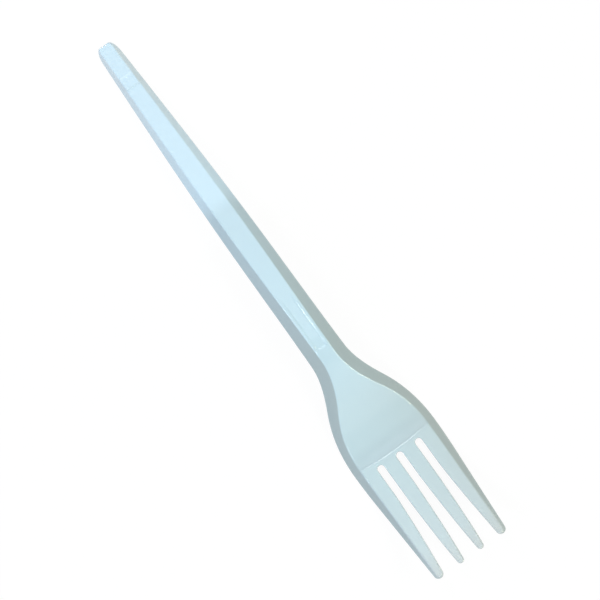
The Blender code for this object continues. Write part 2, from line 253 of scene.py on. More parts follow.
class NodeSheet:
    """A node tree that is filled in from code."""

    def __init__(self, tree: bpy.types.NodeTree) -> None:
        """Start on an empty tree."""
        self.tree = tree
        self.tree.nodes.clear()

    def node(self, kind: str, settings: Mapping[str, Any] | None = None,
             taken: Mapping[int | str, Any] | None = None) -> bpy.types.Node:
        """Add a node.

        Args:
            kind: The node's type.
            settings: Its own settings, and a colour ramp's stops as (place, colour) pairs.
            taken: Numbers, colours, values or sockets for its inputs, by name or number.

        Returns:
            The node.
        """
        made = self.tree.nodes.new(kind)
        for name, setting in (settings or {}).items():
            if name == "stops":
                self._set_stops(made, setting)
            else:
                setattr(made, name, setting)
        for key, given in (taken or {}).items():
            socket = made.inputs[key]
            if isinstance(given, Value):
                self.tree.links.new(given.socket, socket)
            elif isinstance(given, bpy.types.NodeSocket):
                self.tree.links.new(given, socket)
            else:
                socket.default_value = given
        return made

    def value(self, kind: str, settings: Mapping[str, Any] | None = None,
              taken: Mapping[int | str, Any] | None = None, out: int | str = 0) -> Value:
        """Add a node, as node does, and give the number at one of its outputs."""
        return Value(self, self.node(kind, settings, taken).outputs[out])

    def two_shaders(self, share: Value, a: bpy.types.Node, b: bpy.types.Node, end: str) -> None:
        """Mix two shaders, by the share of the second, and end the tree with them."""
        both = self.node("ShaderNodeMixShader", {}, {0: share, 1: a.outputs[0], 2: b.outputs[0]})
        self.node(end, taken={"Surface": both.outputs[0]})

    @staticmethod
    def _set_stops(ramp: bpy.types.Node, stops: Sequence[tuple[float, Colour]]) -> None:
        """Give a colour ramp its stops.

        Args:
            ramp: The ramp's node.
            stops: Pairs of a place from 0 to 1 and a colour.
        """
        elements = ramp.color_ramp.elements
        while len(elements) < len(stops):
            elements.new(1.0)
        for element, (place, colour) in zip(elements, stops):
            element.position = place
            element.color = (*colour, 1.0)


# Rules that shape the blank, each a Geometry Nodes tree


class Mark(Enum):
    """Names of the numbers that each point of the blank carries."""

    RAISED = "raised_share"        # 1 where relief lifts the point, 0 where it stays
    UNDERSIDE = "underside_share"  # 1 on the web's underside
    # The flange share is the mask along which the plastic paints shade and light on the flanges.
    FLANGE = "flange_share"        # 1 on the sloping flanges, which the plastic reads


class Place(NamedTuple):
    """The place of the points that a tree moves."""

    x: Value
    y: Value
    z: Value

    def marked(self, mark: Mark) -> Value:
        """Read a number that the points carry."""
        kind = {"data_type": "FLOAT"}
        return self.x.sheet.value("GeometryNodeInputNamedAttribute", kind, {"Name": mark.value})


class ShapeRule:
    """A rule that moves the blank's points.

    Its dataclass fields are the tree's inputs. To draw the tree, move is called on a copy of the
    rule whose fields hold the inputs' values.
    """

    title: ClassVar[str]

    def move(self, at: Place) -> Place:
        """Say where the point at a place goes."""
        raise NotImplementedError

    def shape(self, piece: bpy.types.Object, plastic: bpy.types.Material) -> None:
        """Put the rule on a piece, as a modifier with its sizes as inputs.

        Args:
            piece: The blank.
            plastic: The material that the result gets.
        """
        group = bpy.data.node_groups.new(self.title, "GeometryNodeTree")
        sheet = NodeSheet(group)
        titles = {size.name: size.name.replace("_", " ").capitalize() for size in fields(self)}
        wanted = [("Geometry", "Geometry", None), ("Plastic", "Material", plastic)]
        wanted += [(title, "Float", getattr(self, name)) for name, title in titles.items()]
        given = {}
        self._add_socket(group, "Geometry", "Geometry", "OUTPUT")
        for title, kind, setting in wanted:
            given[self._add_socket(group, title, kind, "INPUT")] = setting
        start = sheet.node("NodeGroupInput").outputs
        inputs = {name: Value(sheet, start[title]) for name, title in titles.items()}
        position = sheet.node("GeometryNodeInputPosition").outputs[0]
        parts = sheet.node("ShaderNodeSeparateXYZ", taken={0: position}).outputs
        goal = replace(self, **inputs).move(Place(*(Value(sheet, part) for part in parts)))
        placed = sheet.node("ShaderNodeCombineXYZ", taken=dict(enumerate(goal)))
        geometry = start["Geometry"]
        for kind, taken in (("SetPosition", {"Position": placed.outputs[0]}),
                            ("RealizeInstances", {}),
                            ("SetMaterial", {"Material": start["Plastic"]})):
            made = sheet.node(f"GeometryNode{kind}", taken={"Geometry": geometry, **taken})
            geometry = made.outputs[0]
        sheet.node("NodeGroupOutput", taken={"Geometry": geometry})
        modifier = piece.modifiers.new(self.title, "NODES")
        modifier.node_group = group
        for identifier, setting in given.items():
            if setting is not None:
                modifier[identifier] = setting

    @staticmethod
    def _add_socket(group: bpy.types.NodeTree, title: str, kind: str, way: str) -> str:
        """Add a socket to a tree's own inputs or outputs and give its identifier."""
        kind = f"NodeSocket{kind}"
        return group.interface.new_socket(name=title, in_out=way, socket_type=kind).identifier


def _straight(x: float) -> Line:
    """Give the line straight across the web at a place."""
    return lambda y: x


def _closed_down(points: list[Point2]) -> list[Point2]:
    """Put the two ends of a half outline exactly on the centre line."""
    return [(points[0][0], 0.0), *points[1:-1], (points[-1][0], 0.0)]


def half_circle(centre: float, radius: float) -> list[Point2]:
    """Give the half circle round a point of the centre line.

    Args:
        centre: The point's distance along the fork.
        radius: The circle's radius.

    Returns:
        Points from the handle's side round to the tips' side.
    """
    angles = [math.pi * (1 - i / CIRCLE_PARTS) for i in range(CIRCLE_PARTS + 1)]
    return _closed_down([(centre + radius * math.cos(a), radius * math.sin(a)) for a in angles])


@dataclass(frozen=True)
class TineStep(ShapeRule):
    """The tines' top face lies above the dish and begins at a bowed step."""

    title: ClassVar[str] = "tine_step"
    middle_at: float = 130.8 * MM
    head_width: float = 25.92 * MM
    bow: float = 1.0 * MM
    run: float = 0.9 * MM
    height: float = 0.322 * MM

    def middle(self, y: "float | Value") -> "float | Value":
        """Give the place of the step's middle line at a distance from the centre line."""
        across = y * 2.0 / self.head_width
        return self.middle_at - self.bow * across * across

    def passed(self, x: Value, y: Value) -> Value:
        """Tell the tines' side of the step, where this is 1, from the dish, where it is 0."""
        return ((x - self.middle(y)) / self.run + 0.5).ease()

    def lines(self) -> list[Line]:
        """Give the lines across the web that the step's round face follows."""
        shifts = [self.run * (share - 0.5) for share in RISER_SHARES]
        return [lambda y, shift=shift: self.middle(y) + shift for shift in shifts]

    def move(self, at: Place) -> Place:
        """Lift what lies past the step."""
        lift = self.height * self.passed(at.x, at.y)
        return at._replace(z=at.z + lift * at.marked(Mark.RAISED))


@dataclass(frozen=True)
class CavityPad(ShapeRule):
    """A low pad near the handle's end, with a small raised ring on it."""

    title: ClassVar[str] = "cavity_pad"
    start: float = 9.48 * MM
    ramp: float = 0.75 * MM
    length: float = 4.12 * MM
    fall: float = 1.0 * MM
    height: float = 0.035 * MM
    swell: float = 0.36 * MM
    ring_at: float = 11.06 * MM
    ring_radius: float = 0.62 * MM
    ring_width: float = 0.34 * MM
    ring_edge: float = 0.14 * MM
    ring_height: float = 0.012 * MM
    foot_half: ClassVar[float] = 0.06 * MM

    def lines(self) -> list[Line]:
        """Give the straight lines across the web at the pad's two ends.

        Returns:
            The lines, as x at a given y.
        """
        places = [self.start + self.ramp * share for share in RISER_SHARES]
        places += [self.start + self.length - self.fall * share for share in RISER_SHARES]
        places += [self.start + self.length + side * self.foot_half for side in (-1, 1)]
        return [_straight(place) for place in places]

    def loops(self) -> list[list[Point2]]:
        """Give the half circles that the ring's edges follow.

        Returns:
            The half circles.
        """
        half = self.ring_width / 2
        radii = [self.ring_radius + side * (half - inset)
                 for side in (-1, 1) for inset in (0.0, self.ring_edge / 2, self.ring_edge)]
        return [half_circle(self.ring_at, radius) for radius in radii]

    def move(self, at: Place) -> Place:
        """Lift the pad, and the ring on it.

        Args:
            at: The point's place.

        Returns:
            Its new place.
        """
        past = at.x - self.start
        climb = self.height * (past / self.ramp).ease()
        swell = self.swell * (past / self.length).share()
        left = ((self.length - past) / self.fall).share()
        drop = left * (2.0 - left)
        along = at.x - self.ring_at
        off_ring = abs((along * along + at.y * at.y).math("SQRT") - self.ring_radius)
        ring = ((self.ring_width / 2.0 - off_ring) / self.ring_edge).ease()
        lift = (climb + swell) * drop + self.ring_height * ring
        return at._replace(z=at.z + lift * at.marked(Mark.RAISED))


@dataclass(frozen=True)
class LabelPanel(ShapeRule):
    """A long sunk panel on the handle, near the neck, that is left bare.

    Its floor runs out level with the web on the handle's side, and drops near the neck.
    """

    title: ClassVar[str] = "label_panel"
    middle_at: float = 89.3 * MM
    half_length: float = 8.55 * MM
    half_width: float = 1.5 * MM
    corner: float = 0.5 * MM
    wall: float = 0.42 * MM
    depth: float = 0.11 * MM
    run_out: float = 4.5 * MM
    drop_run: float = 3.0 * MM
    drop: float = 0.11 * MM

    def loops(self) -> list[list[Point2]]:
        """Give the half outlines that the panel's round wall follows."""
        return [self._outline(self.wall * (share - 0.5)) for share in RISER_SHARES]

    def _outline(self, grow: float) -> list[Point2]:
        """Give the half outline of the panel, grown by a distance.

        Args:
            grow: The distance.

        Returns:
            Points from the handle's side round to the neck's side.
        """
        radius = self.corner + grow
        side = self.half_width + grow
        ends = self.half_length + grow
        points = [(self.middle_at - ends, 0.0)]
        for centre, last in ((-ends + radius, QUARTER_TURN), (ends - radius, 0.0)):
            for i in range(PANEL_CORNER_PARTS, -1, -1):
                angle = math.radians(last + QUARTER_TURN * i / PANEL_CORNER_PARTS)
                x = self.middle_at + centre + radius * math.cos(angle)
                points.append((x, side - radius + radius * math.sin(angle)))
        middle = len(points) // 2 + 1
        run = spaced(points[middle - 1][0], points[middle][0], FILL_STEP)[1:-1]
        points[middle:middle] = [(x, side) for x in run]
        return _closed_down(points + [(self.middle_at + ends, 0.0)])

    def move(self, at: Place) -> Place:
        """Lower what lies inside the panel's outline.

        Args:
            at: The point's place.

        Returns:
            Its new place.
        """
        over_x = abs(at.x - self.middle_at) - (self.half_length - self.corner)
        over_y = abs(at.y) - (self.half_width - self.corner)
        out_x, out_y = over_x.highest(0.0), over_y.highest(0.0)
        outside = (out_x * out_x + out_y * out_y).math("SQRT")
        inside = over_x.highest(over_y).lowest(0.0)
        past = outside + inside - self.corner
        from_end = at.x - self.middle_at + self.half_length
        to_neck = self.half_length * 2.0 - from_end
        depth = self.depth * (from_end / self.run_out).ease()
        depth = depth + self.drop * (1.0 - to_neck / self.drop_run).ease()
        sunk = (0.5 - past / self.wall).ease() * depth
        return at._replace(z=at.z - sunk * at.marked(Mark.RAISED))


@dataclass(frozen=True)
class PinMarks(ShapeRule):
    """Shallow round marks in a row under the web, where the mould's pins push the fork out."""

    title: ClassVar[str] = "pin_marks"
    first_at: float = 17.0 * MM
    spacing: float = 26.5 * MM
    last_number: float = 4.0
    radius: float = 0.9 * MM
    edge: float = 0.14 * MM
    depth: float = 0.08 * MM

    def loops(self) -> list[list[Point2]]:
        """Give the half circles that the marks' edges follow.

        Returns:
            The half circles.
        """
        return [half_circle(self.first_at + number * self.spacing, self.radius - inset)
                for number in range(int(self.last_number) + 1)
                for inset in (0.0, self.edge / 2, self.edge)]

    def move(self, at: Place) -> Place:
        """Press the nearest mark up into the web.

        Args:
            at: The point's place.

        Returns:
            Its new place.
        """
        number = ((at.x - self.first_at) / self.spacing).math("ROUND")
        number = number.highest(0.0).lowest(self.last_number)
        along = at.x - self.first_at - number * self.spacing
        off = (along * along + at.y * at.y).math("SQRT")
        pressed = ((self.radius - off) / self.edge).ease()
        lift = self.depth * pressed * at.marked(Mark.UNDERSIDE)
        return at._replace(z=at.z + lift)


@dataclass(frozen=True)
class Arch(ShapeRule):
    """The side view: up from the handle's end to a crest, down to the dish, up to the tips.

    It also moves the fork's middle to the origin, and rubs the rim flat where it rests.
    """

    title: ClassVar[str] = "arch"
    end_height: float = 1.32 * MM
    end_incline: float = 0.11
    crest_at: float = 92.0 * MM
    crest_height: float = 12.0 * MM
    dish_at: float = 130.6 * MM
    dish_height: float = 2.32 * MM
    tip_at: float = 165.0 * MM
    tip_height: float = 11.5 * MM
    tip_incline: float = 0.40

    def move(self, at: Place) -> Place:
        """Lift the web's top face onto the curve of the side view.

        Args:
            at: The point's place.

        Returns:
            Its new place.
        """
        flat = at.x * 0.0
        knots = (
            Knot(flat, self.end_height, self.end_incline),
            Knot(self.crest_at, self.crest_height, flat),
            Knot(self.dish_at, self.dish_height, flat),
            Knot(self.tip_at, self.tip_height, self.tip_incline),
        )
        height = between(knots[0], knots[1], at.x)
        for a, b in zip(knots[1:], knots[2:]):
            past = at.x.above(a.at)
            height = height * (1.0 - past) + between(a, b, at.x) * past
        middle = self.tip_at / 2.0
        return Place(at.x - middle, at.y, (at.z + height).highest(0.0))


# The plan: stations along the outline, and the wall's section at each


class Station(NamedTuple):
    """A point of the outline, with what the wall's section needs there."""

    x: float
    y: float
    inward_x: float
    inward_y: float
    band: float  # width of the side's sloping face, seen from above
    drop: float  # height of the side

    def inset(self, distance: float) -> Point2:
        """Give the point of the plan that lies this far in from the outline."""
        return self.x + distance * self.inward_x, self.y + distance * self.inward_y


class SkinPoint(NamedTuple):
    """A point of the blank, with its shares of the relief and of the sloping flange."""

    x: float
    y: float
    z: float
    raised: float
    flange: float = 0.0


@dataclass(frozen=True)
class Lengths:
    """Lengths along the fork, and the places that they lead to."""

    handle: float = 100.4 * MM
    shoulder: float = 30.2 * MM
    root_setback: float = 1.2 * MM
    tine: float = 33.2 * MM
    turn_length: float = 12.2 * MM
    ease_length: float = 9.2 * MM

    @property
    def turn(self) -> float:
        """Place where the shoulder is steepest."""
        return self.handle + self.turn_length

    @property
    def widest(self) -> float:
        """Place of the widest line of the head."""
        return self.handle + self.shoulder

    @property
    def eased(self) -> float:
        """Place from where the head narrows steadily."""
        return self.widest + self.ease_length

    @property
    def root(self) -> float:
        """Place of the slots' roots."""
        return self.widest + self.root_setback

    @property
    def tip(self) -> float:
        """Place of the tips."""
        return self.root + self.tine


LENGTHS = Lengths()


def arc(centre: Point2, radius: float, first: float, last: float, parts: int) -> list[Point2]:
    """Give points along an arc of the section.

    Args:
        centre: The arc's centre, as distance in from the outline and height.
        radius: Its radius.
        first: The angle of its first point, from straight up, turning outward.
        last: The angle of its last point.
        parts: The number of parts.

    Returns:
        The points.
    """
    angles = [first + (last - first) * i / parts for i in range(parts + 1)]
    return [(centre[0] - radius * math.sin(a), centre[1] + radius * math.cos(a)) for a in angles]


@dataclass(frozen=True)
class Wall:
    """The moulded wall: a flat web with sloping flanges, and what rounds their edges."""

    thickness: float = 1.1 * MM
    tine_root_thickness: float = 1.5 * MM
    tine_tip_thickness: float = 1.1 * MM
    end_depth: float = 1.5 * MM
    neck_depth: float = 3.5 * MM
    head_depth: float = 2.5 * MM
    end_band: float = 1.15 * MM
    neck_band: float = 3.05 * MM
    turn_band: float = 2.88 * MM
    shoulder_band: float = 2.2 * MM
    head_band: float = 2.03 * MM
    tip_band: float = 0.7 * MM
    spread: float = 0.025
    turn_closing: float = -0.07
    closing: float = -0.03
    lip: float = 0.3 * MM
    lip_round: float = 0.1 * MM
    rim_round: float = 0.12 * MM
    draft: float = 0.1 * MM
    tip_draft: float = 0.22 * MM
    brow_radius: float = 0.6 * MM
    head_brow_radius: float = 0.9 * MM
    edge_radius: float = 0.22 * MM
    tip_radius: float = 0.42 * MM
    inner_round: float = 0.3 * MM
    land: float = 0.08 * MM
    full_hollow: float = 0.6 * MM
    support: float = 0.09 * MM
    brow_parts: int = 8
    brow_clear: float = 0.4
    rim_parts: int = 4

    def web(self) -> SmoothCurve:
        """Give the web's thickness along the fork.

        Returns:
            The curve.
        """
        return SmoothCurve((
            Knot(LENGTHS.widest - LENGTHS.ease_length, self.thickness, 0.0),
            Knot(LENGTHS.eased, self.tine_root_thickness, 0.0),
            Knot(LENGTHS.tip, self.tine_tip_thickness, 0.0),
        ))

    def depth(self) -> SmoothCurve:
        """Give the flange's depth along the fork.

        Returns:
            The curve.
        """
        return SmoothCurve((
            Knot(0.0, self.end_depth, self.spread),
            Knot(LENGTHS.handle, self.neck_depth, 0.0),
            Knot(LENGTHS.widest, self.head_depth, self.closing),
            Knot(LENGTHS.tip, self.tine_tip_thickness, self.closing),
        ))

    def web_depth(self, x: float) -> float:
        """Give the web's thickness at a place, which is never more than the flange's depth."""
        return min(self.web().value(x), self.depth().value(x))

    def band(self, first: float) -> SmoothCurve:
        """Give the width of the sloping face, seen from above.

        Args:
            first: The place where the long side begins.

        Returns:
            The width along the fork.
        """
        return SmoothCurve((
            Knot(first, self.end_band, self.spread),
            Knot(LENGTHS.handle, self.neck_band, self.spread),
            Knot(LENGTHS.turn, self.turn_band, self.turn_closing),
            Knot(LENGTHS.widest - LENGTHS.ease_length, self.shoulder_band, self.closing),
            Knot(LENGTHS.widest, self.head_band, self.closing / 2),
            Knot(LENGTHS.tip, self.tip_band, self.closing),
        ))

    def brow(self) -> SmoothCurve:
        """Give the radius of the web's edge along the fork.

        Returns:
            The curve.
        """
        return SmoothCurve((
            Knot(LENGTHS.handle, self.brow_radius, 0.0),
            Knot(LENGTHS.widest, self.head_brow_radius, 0.0),
        ))

    def tine_draft(self, x: float) -> float:
        """Give how far the tines' upright sides slope out, which grows towards the tips."""
        return eased(self.draft, self.tip_draft, (x - LENGTHS.root) / LENGTHS.tine)

    def flange_share(self, station: Station) -> float:
        """Say how far a side is a sloping flange, from 0 on an upright side to 1."""
        return min(max((station.band - self.draft) / (self.end_band - self.draft), 0.0), 1.0)

    def section(self, station: Station) -> list[SkinPoint]:
        """Give the wall's section at a station.

        Args:
            station: The station.

        Returns:
            Points from the web's top face over the rim to its underside.
        """
        flange = self.flange_share(station)
        angle = math.atan2(station.drop - self.lip, station.band)
        to_tip = (station.x - LENGTHS.tip) / TIP_ROUNDING + 1.0
        upright = eased(self.edge_radius, self.tip_radius, to_tip)
        radius = eased(upright, self.brow().value(station.x), flange)
        tangent = radius * math.tan(angle / 2)
        brow = arc((station.band + tangent, -radius), radius, 0.0, angle, self.brow_parts)
        lip_tangent = self.lip_round * math.tan((math.pi / 2 - angle) / 2)
        lip_centre = (self.lip_round, self.lip - station.drop - lip_tangent)
        lip = arc(lip_centre, self.lip_round, angle, math.pi / 2, self.rim_parts // 2)
        rim_centre = (self.rim_round, self.rim_round - station.drop)
        rim = arc(rim_centre, self.rim_round, math.pi / 2, math.pi, self.rim_parts)
        top = [(brow[0][0] + self.support, 0.0), *brow]
        turned = [0.0] + [i / self.brow_parts for i in range(self.brow_parts + 1)]
        sloping = [flange * max(0.0, share - self.brow_clear) / (1.0 - self.brow_clear)
                   for share in turned]
        points = [SkinPoint(*station.inset(inset), z, 1.0 - share, share)
                  for (inset, z), share in zip(top, sloping)]
        points += [SkinPoint(*station.inset(inset), z, 0.0, flange) for inset, z in lip + rim]
        return points + self.inner_section(station, angle)

    def inner_section(self, station: Station, angle: float) -> list[SkinPoint]:
        """Give the section's points under the rim: its land, the inner slope and the underside.

        Where the side has no hollow behind it, these points close up into strips along the edge.

        Args:
            station: The station.
            angle: The slope of the outer face.

        Returns:
            Points from the rim to the web's underside.
        """
        hollow = max(station.drop - self.web_depth(station.x), 0.0)
        share = hollow / self.full_hollow
        thick = self.thickness / math.sin(angle)
        foot = thick - self.lip / math.tan(angle)
        top = thick + (hollow - self.lip) / math.tan(angle)
        rounding = min(self.inner_round, hollow / 2)
        edge = self.rim_round + self.edge_radius
        near, middle, far = (edge + lands * self.land for lands in (1.0, 1.5, 2.0))
        start = (eased(edge, foot, share), 0.0)
        slope = (eased(near, top - rounding * math.cos(angle), share),
                 hollow - rounding * math.sin(angle))
        corner = (eased(middle, top, share), hollow)
        end = (eased(far, top + rounding, share), hollow)
        bend = []
        for i in range(1, self.rim_parts):
            t = i / self.rim_parts
            shares = ((1 - t) ** 2, 2 * t * (1 - t), t * t)
            bend.append([sum(s * p[k] for s, p in zip(shares, (slope, corner, end)))
                         for k in (0, 1)])
        inner = [start, slope, *bend, end, (end[0] + self.land, hollow)]
        return [SkinPoint(*station.inset(inset), z - station.drop, 0.0) for inset, z in inner]


@dataclass(frozen=True)
class Handle:
    """The handle's plan: its rounded end and its long sides."""

    wall: Wall
    end_flat: float = 2.6 * MM
    end_width: float = 5.96 * MM
    corner_length: float = 4.5 * MM
    grip_length: float = 58.4 * MM
    grip_width: float = 9.65 * MM
    neck_width: float = 10.45 * MM
    end_splay: float = 0.045
    grip_splay: float = 0.018
    neck_splay: float = 0.02
    corner_parts: int = 16

    @property
    def corner_rise(self) -> float:
        """Width that the corner gains on each side."""
        return (self.end_width - self.end_flat) / 2

    def last_angle(self) -> float:
        """Give the angle at which the corner runs into the splayed side."""
        return math.atan2(self.corner_rise, self.corner_length * self.end_splay)

    def corner_point(self, angle: float) -> Point2:
        """Give a point of the elliptical corner at the handle's end."""
        x = self.corner_length * (1 - math.cos(angle))
        return x, self.end_flat / 2 + self.corner_rise * math.sin(angle)

    def knots(self) -> list[Knot]:
        """Give the knots of the handle's long side, from the end of its corner.

        Returns:
            The knots.
        """
        return [
            Knot(*self.corner_point(self.last_angle()), self.end_splay),
            Knot(self.grip_length, self.grip_width / 2, self.grip_splay),
            Knot(LENGTHS.handle, self.neck_width / 2, self.neck_splay),
        ]

    def stations(self) -> list[Station]:
        """Give the stations along the handle's end and round its corner.

        Returns:
            The stations from the centre line to the long side.
        """
        wall, depth = self.wall, self.wall.depth()
        stations = [Station(0.0, y, 1.0, 0.0, wall.draft, depth.value(0.0))
                    for y in spaced(0.0, self.end_flat / 2, OUTLINE_STEP / 2)]
        last = self.last_angle()
        for i in range(1, self.corner_parts + 1):
            angle = last * i / self.corner_parts
            x, y = self.corner_point(angle)
            band = wall.draft + (wall.end_band - wall.draft) * math.sin(angle) / math.sin(last)
            stations.append(Station(x, y, math.cos(angle), -math.sin(angle), band, depth.value(x)))
        return stations


class Tip(NamedTuple):
    """A tine's round tip: how far its centre lies from the centre line, and its radius."""

    offset: float
    radius: float

    def tangent(self, slope: float, side: int) -> Knot:
        """Find where an edge of the tine meets the tip.

        Args:
            slope: The edge's slope.
            side: The side of the tine that the edge is on, 1 or -1.

        Returns:
            The knot that ends the edge.
        """
        turn = math.atan(abs(slope))
        x = LENGTHS.tip - self.radius + self.radius * math.sin(turn)
        return Knot(x, self.offset + side * self.radius * math.cos(turn), slope)


@dataclass(frozen=True)
class Tines:
    """Four tines: two outer ones with a flange and two inner ones, parted by three slots."""

    wall: Wall
    slot_width: float = 1.97 * MM
    slot_pitch: float = 6.07 * MM
    slot_straight: float = 8.2 * MM
    inner_straight: float = 11.5 * MM
    inner_tip_offset: float = 3.19 * MM
    outer_tip_radius: float = 1.35 * MM
    inner_tip_radius: float = 0.98 * MM
    taper_start: float = 0.025
    taper_end: float = 0.09
    tip_parts: int = 22
    root_parts: int = 20

    def round_tip(self, tip: Tip, slopes: Point2, band: float) -> list[Station]:
        """Give the stations round a tip, from its outer edge to its inner edge.

        Args:
            tip: The tip.
            slopes: The slopes of the outer and the inner edge.
            band: The width of the outer side's sloping face.

        Returns:
            The stations.
        """
        wall, depth = self.wall, self.wall.depth()
        first = math.pi / 2 - math.atan(abs(slopes[0]))
        last = math.atan(abs(slopes[1])) - math.pi / 2
        stations = []
        for i in range(1, self.tip_parts):
            share = i / self.tip_parts
            angle = first + (last - first) * share
            x = LENGTHS.tip - tip.radius + tip.radius * math.cos(angle)
            y = tip.offset + tip.radius * math.sin(angle)
            under, side = wall.web_depth(x), wall.tine_draft(x)
            drop = eased(depth.value(x) if band > wall.draft else under, under, share)
            face = eased(max(band, side), side, share)
            stations.append(Station(x, y, -math.cos(angle), -math.sin(angle), face, drop))
        return stations

    def slot_side(self, offset: float, side: int, tip: Tip, straight: float) -> list[Station]:
        """Give the stations along one side of a slot, from its root to the tine's tip.

        Args:
            offset: The centre line of the fork to the slot's centre line.
            side: The side of the slot that the tine is on, 1 or -1.
            tip: The tine's tip.
            straight: The length over which the side runs straight.

        Returns:
            The stations.
        """
        radius = self.slot_width / 2
        knot = Knot(LENGTHS.root + straight, offset + side * radius, side * self.taper_start)
        edge = SmoothCurve((knot, tip.tangent(side * self.taper_end, -side)))
        places = spaced(LENGTHS.root + radius, knot.at, OUTLINE_STEP)
        places += spaced(knot.at, edge.knots[1].at, OUTLINE_STEP)[1:]
        stations = []
        for x in places:
            slope = edge.slope(x) if x > knot.at else 0.0
            y = edge.value(x) if x > knot.at else knot.value
            size = math.hypot(1.0, slope)
            inward = (-side * slope / size, side / size)
            stations.append(Station(x, y, *inward, self.wall.tine_draft(x),
                                    self.wall.web_depth(x)))
        return stations

    def root(self, offset: float, last_degrees: float) -> list[Station]:
        """Give the stations round a slot's root, from its outer side.

        Args:
            offset: The centre line of the fork to the slot's centre line.
            last_degrees: Where the arc ends, as an angle from the tips' direction.

        Returns:
            The stations.
        """
        radius = self.slot_width / 2
        turn = last_degrees - OUTER_SIDE
        parts = round(self.root_parts * turn / (INNER_SIDE - OUTER_SIDE))
        stations = []
        for i in range(1, parts + 1):
            angle = math.radians(OUTER_SIDE + turn * i / parts)
            x = LENGTHS.root + radius + radius * math.cos(angle)
            y = offset + radius * math.sin(angle)
            stations.append(Station(x, y, math.cos(angle), math.sin(angle), self.wall.draft,
                                    self.wall.web_depth(x)))
        return stations


@dataclass(frozen=True)
class Head:
    """The head's plan: the shoulders and the outer sides down to the tips."""

    turn_width: float = 17.88 * MM
    width: float = 25.92 * MM
    turn_splay: float = 0.495
    taper: float = -0.055

    def outer_tip(self, radius: float) -> Tip:
        """Find the outer tip that the tapering side runs into.

        Args:
            radius: The tip's radius.

        Returns:
            The tip.
        """
        turn = math.atan(abs(self.taper))
        half_eased = (LENGTHS.widest + LENGTHS.eased) / 2
        reach = LENGTHS.tip - radius * (1 - math.sin(turn)) - half_eased
        return Tip(self.width / 2 + self.taper * reach - radius * math.cos(turn), radius)

    def knots(self) -> list[Knot]:
        """Give the knots of the head's outer side, up to the tip's arc.

        Returns:
            The knots.
        """
        eased_side = self.width / 2 + self.taper * LENGTHS.ease_length / 2
        return [
            Knot(LENGTHS.turn, self.turn_width / 2, self.turn_splay),
            Knot(LENGTHS.widest, self.width / 2, 0.0),
            Knot(LENGTHS.eased, eased_side, self.taper),
        ]


# The moulding


class Blank:
    """Half of the fork's skin, drawn flat: the web's top face lies at Z = 0."""

    def __init__(self) -> None:
        """Start an empty mesh whose points carry the marks."""
        self.mesh = bmesh.new()
        self.marks = {mark: self.mesh.verts.layers.float.new(mark.value) for mark in Mark}

    def add_point(self, point: SkinPoint, under: float = 0.0) -> bmesh.types.BMVert:
        """Add a point to the mesh.

        Args:
            point: The point.
            under: 1 on the web's underside.

        Returns:
            Its vertex.
        """
        vert = self.mesh.verts.new(point[:3])
        vert[self.marks[Mark.RAISED]] = point.raised
        vert[self.marks[Mark.FLANGE]] = point.flange
        vert[self.marks[Mark.UNDERSIDE]] = under
        return vert

    def add_walls(self, sections: Iterable[Iterable[SkinPoint]]) -> list[list[bmesh.types.BMVert]]:
        """Skin neighbouring sections of the wall.

        Args:
            sections: The sections, each from the web's top face to its underside.

        Returns:
            The ring of vertices of each section.
        """
        rings = [[self.add_point(point) for point in points] for points in sections]
        for here, ahead in zip(rings, rings[1:]):
            for i in range(len(here) - 1):
                self.mesh.faces.new((here[i], ahead[i], ahead[i + 1], here[i + 1]))
        return rings

    def add_web(self, ring: Sequence[bmesh.types.BMVert], height: Line, under: float,
                lines: Sequence[Line], loops: Sequence[Sequence[Point2]]) -> None:
        """Fill one face of the web inside a ring of vertices.

        Args:
            ring: The face's border.
            height: The face's height along the fork.
            under: 0 for the top face and 1 for the underside.
            lines: Lines across the web that the mesh has to follow.
            loops: Half outlines that the mesh has to follow.
        """
        border = [(vert.co.x, vert.co.y) for vert in ring]
        chains = [cut_line(line, border) for line in lines] + [list(loop) for loop in loops]
        points = list(dict.fromkeys(border))
        places = {point: i for i, point in enumerate(points)}
        for point in [p for chain in chains for p in chain] + fill_points(border, chains):
            if point not in places:
                places[point] = len(points)
                points.append(point)
        edges = [(places[a], places[b])
                 for chain in [border, *chains] for a, b in zip(chain, chain[1:])]
        middle = sorted(point for point in points if point[1] == 0.0)
        edges += [(places[a], places[b]) for a, b in zip(middle, middle[1:])]
        flat = [Vector((x / MM, y / MM)) for x, y in points]
        found, _, faces, origins, _, _ = delaunay_2d_cdt(flat, edges, [], INSIDE_ONLY,
                                                         FILL_TOLERANCE)
        verts = []
        for place, origin in zip(found, origins):
            if origin and origin[0] < len(ring):
                verts.append(ring[origin[0]])
                continue
            x, y = points[origin[0]] if origin else (place.x * MM, place.y * MM)
            verts.append(self.add_point(SkinPoint(x, y, height(x), 1.0 - under), under))
        for face in faces:
            corners = [verts[i] for i in face]
            self.mesh.faces.new(reversed(corners) if under else corners)


def cut_line(line: Line, border: Sequence[Point2]) -> list[Point2]:
    """Cut a line across the web at the border.

    Args:
        line: The line.
        border: The web's border, which has a point on the line.

    Returns:
        Points from the centre line to the border.
    """
    handle_side = [point for point in border if point[0] < LENGTHS.root]
    corner = min(handle_side, key=lambda point: abs(point[0] - line(point[1])))
    return [(line(y), y) for y in spaced(0.0, corner[1], FILL_STEP)[:-1]] + [corner]


